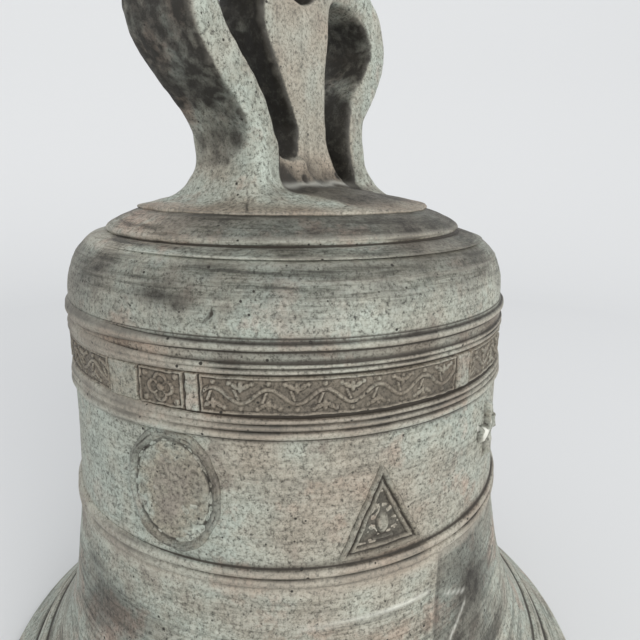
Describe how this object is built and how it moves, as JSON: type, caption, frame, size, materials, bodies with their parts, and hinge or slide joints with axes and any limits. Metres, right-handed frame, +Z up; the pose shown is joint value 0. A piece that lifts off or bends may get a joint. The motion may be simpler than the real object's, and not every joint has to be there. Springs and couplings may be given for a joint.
{
  "type": "church bell",
  "caption": "Small bronze church bell with a looped crown for hanging and an iron clapper that swings inside on a leather strap.",
  "frame": {"origin": "centre of the mouth, on the plane of the lip", "axes": "+Z up the bell's axis; X along the two canons, with the near canon at -X; Y along the argent's eye and across the clapper's swing"},
  "size_m": [0.322, 0.322, 0.372],
  "materials": {
    "bell_bronze": "matte, weathered grey-green bell bronze with dark pits",
    "staple_iron": "rusted wrought iron",
    "baldric_leather": "old greased harness leather",
    "lap_iron": "dark forged iron",
    "clapper_iron": "rusted wrought iron, worn bright at the ball"
  },
  "bodies": {
    "bell": {"sound_bow": "bell_bronze", "waist": "bell_bronze", "shoulder": "bell_bronze", "head_plate": "bell_bronze", "argent": "bell_bronze", "near_canon": "bell_bronze", "far_canon": "bell_bronze", "frieze_tiles": "bell_bronze", "oval_medallion": "bell_bronze", "triangle_plaquette": "bell_bronze", "cross_relief": "bell_bronze", "crown_staple": "staple_iron"},
    "baldric": {"baldric_strap": "baldric_leather", "lap_plate": "lap_iron", "lap_bolts": "lap_iron", "lap_nuts": "lap_iron"},
    "clapper": {"hanger_eye": "clapper_iron", "clapper_shank": "clapper_iron", "clapper_ball": "clapper_iron", "clapper_flight": "clapper_iron"}
  },
  "joints": [
    {"name": "baldric_swing", "type": "hinge", "parent": "bell", "child": "baldric", "pos_m": [0, 0, 0.206], "axis": [1, 0, 0], "range_deg": [-22, 22]},
    {"name": "clapper_swing", "type": "hinge", "parent": "baldric", "child": "clapper", "pos_m": [0, 0, 0.16], "axis": [1, 0, 0], "range_deg": [-8, 8]}
  ]
}
